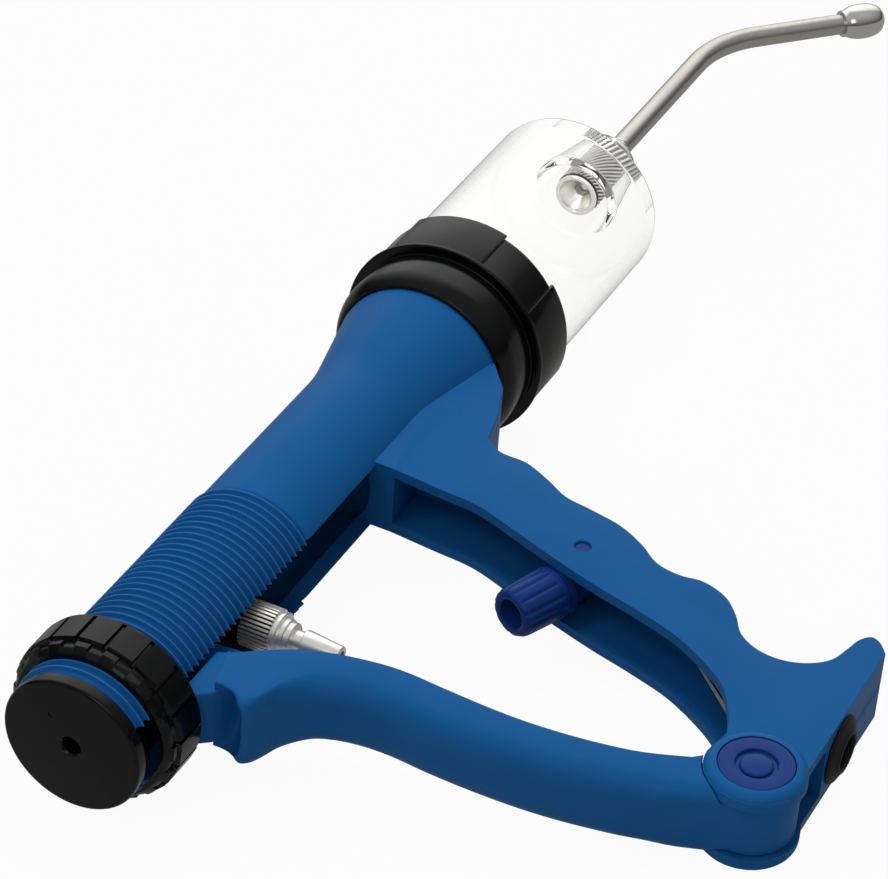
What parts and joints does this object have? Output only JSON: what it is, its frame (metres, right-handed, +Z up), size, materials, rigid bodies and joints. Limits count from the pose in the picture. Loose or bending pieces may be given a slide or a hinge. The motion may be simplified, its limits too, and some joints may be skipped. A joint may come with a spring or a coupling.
{
  "type": "livestock drencher",
  "caption": "Squeeze-handle drencher: slotted threaded barrel with a dose ring, clear dosing cylinder, bent nozzle, sprung lever, and hose guides in the front handle.",
  "frame": {"origin": "middle of the end cap's rear face, on the barrel's axis", "axes": "+X along the barrel towards the nozzle, -Y towards the ends of the handles, +Z up from the side that the drencher lies on"},
  "size_m": [0.3453, 0.1544, 0.0484],
  "materials": {
    "blue_plastic": "satin moulded",
    "dark_blue_plastic": "satin moulded",
    "black_plastic": "gloss moulded",
    "clear_plastic": "clear, polished",
    "white_plastic": "satin",
    "black_rubber": "matt",
    "nickel_plate": "polished nickel",
    "bright_steel": "polished",
    "brushed_tube": "drawn and brushed",
    "spring_steel": "drawn wire"
  },
  "bodies": {
    "frame": {"body": "blue_plastic", "end_cap": "black_plastic", "collar_nut": "black_plastic", "cylinder": "clear_plastic", "cylinder_seal": "black_rubber", "rod_guide": "white_plastic", "outlet_valve_body": "nickel_plate", "outlet_valve_washer": "black_rubber", "outlet_spring": "spring_steel", "nozzle_nut": "nickel_plate", "nozzle_tube": "brushed_tube", "nozzle_tip": "nickel_plate", "hose_grommet": "black_rubber", "pivot_pin": "dark_blue_plastic", "pivot_caps": "dark_blue_plastic", "lever_spring": "spring_steel"},
    "lever": {"lever": "blue_plastic"},
    "drive": {"drive_block": "black_plastic", "piston_rod": "brushed_tube", "piston": "black_plastic", "piston_seals": "black_rubber", "inlet_spring": "spring_steel", "inlet_cage": "white_plastic", "hose_nut": "nickel_plate", "hose_tail": "nickel_plate"},
    "dose_ring": {"dose_ring": "black_plastic"},
    "gland": {"gland_body": "dark_blue_plastic", "gland_nut": "dark_blue_plastic"},
    "inlet_ball": {"inlet_ball": "bright_steel"},
    "outlet_ball": {"outlet_ball": "bright_steel"}
  },
  "joints": [
    {"name": "lever_hinge", "type": "hinge", "parent": "frame", "child": "lever", "pos_m": [0.0534, -0.1193, 0], "axis": [0, 0, -1], "range_deg": [0, 21.9], "stiffness_Nm_per_rad": 0.8, "springref_deg": -22.92, "deforming": ["lever_spring"]},
    {"name": "rod_slide", "type": "slide", "parent": "frame", "child": "drive", "axis": [1, 0, 0], "range_m": [0, 0.0441]},
    {"name": "dose_ring_turn", "type": "hinge", "parent": "frame", "child": "dose_ring", "pos_m": [0.013, 0, 0], "axis": [1, 0, 0], "continuous": true},
    {"name": "gland_swivel", "type": "hinge", "parent": "frame", "child": "gland", "pos_m": [0.0975, -0.062, 0], "axis": [0, 0, 1], "range_deg": [-10, 10]},
    {"name": "inlet_lift", "type": "slide", "parent": "drive", "child": "inlet_ball", "axis": [1, 0, 0], "range_m": [0, 0.0012], "stiffness_N_per_m": 40, "springref_m": -0.001, "deforming": ["inlet_spring"]},
    {"name": "outlet_lift", "type": "slide", "parent": "frame", "child": "outlet_ball", "axis": [1, 0, 0], "range_m": [0, 0.003], "stiffness_N_per_m": 40, "springref_m": -0.001, "deforming": ["outlet_spring"]}
  ],
  "couplings": [
    {"joint": "rod_slide", "follows": "lever_hinge", "m_per_rad": 0.11506}
  ]
}
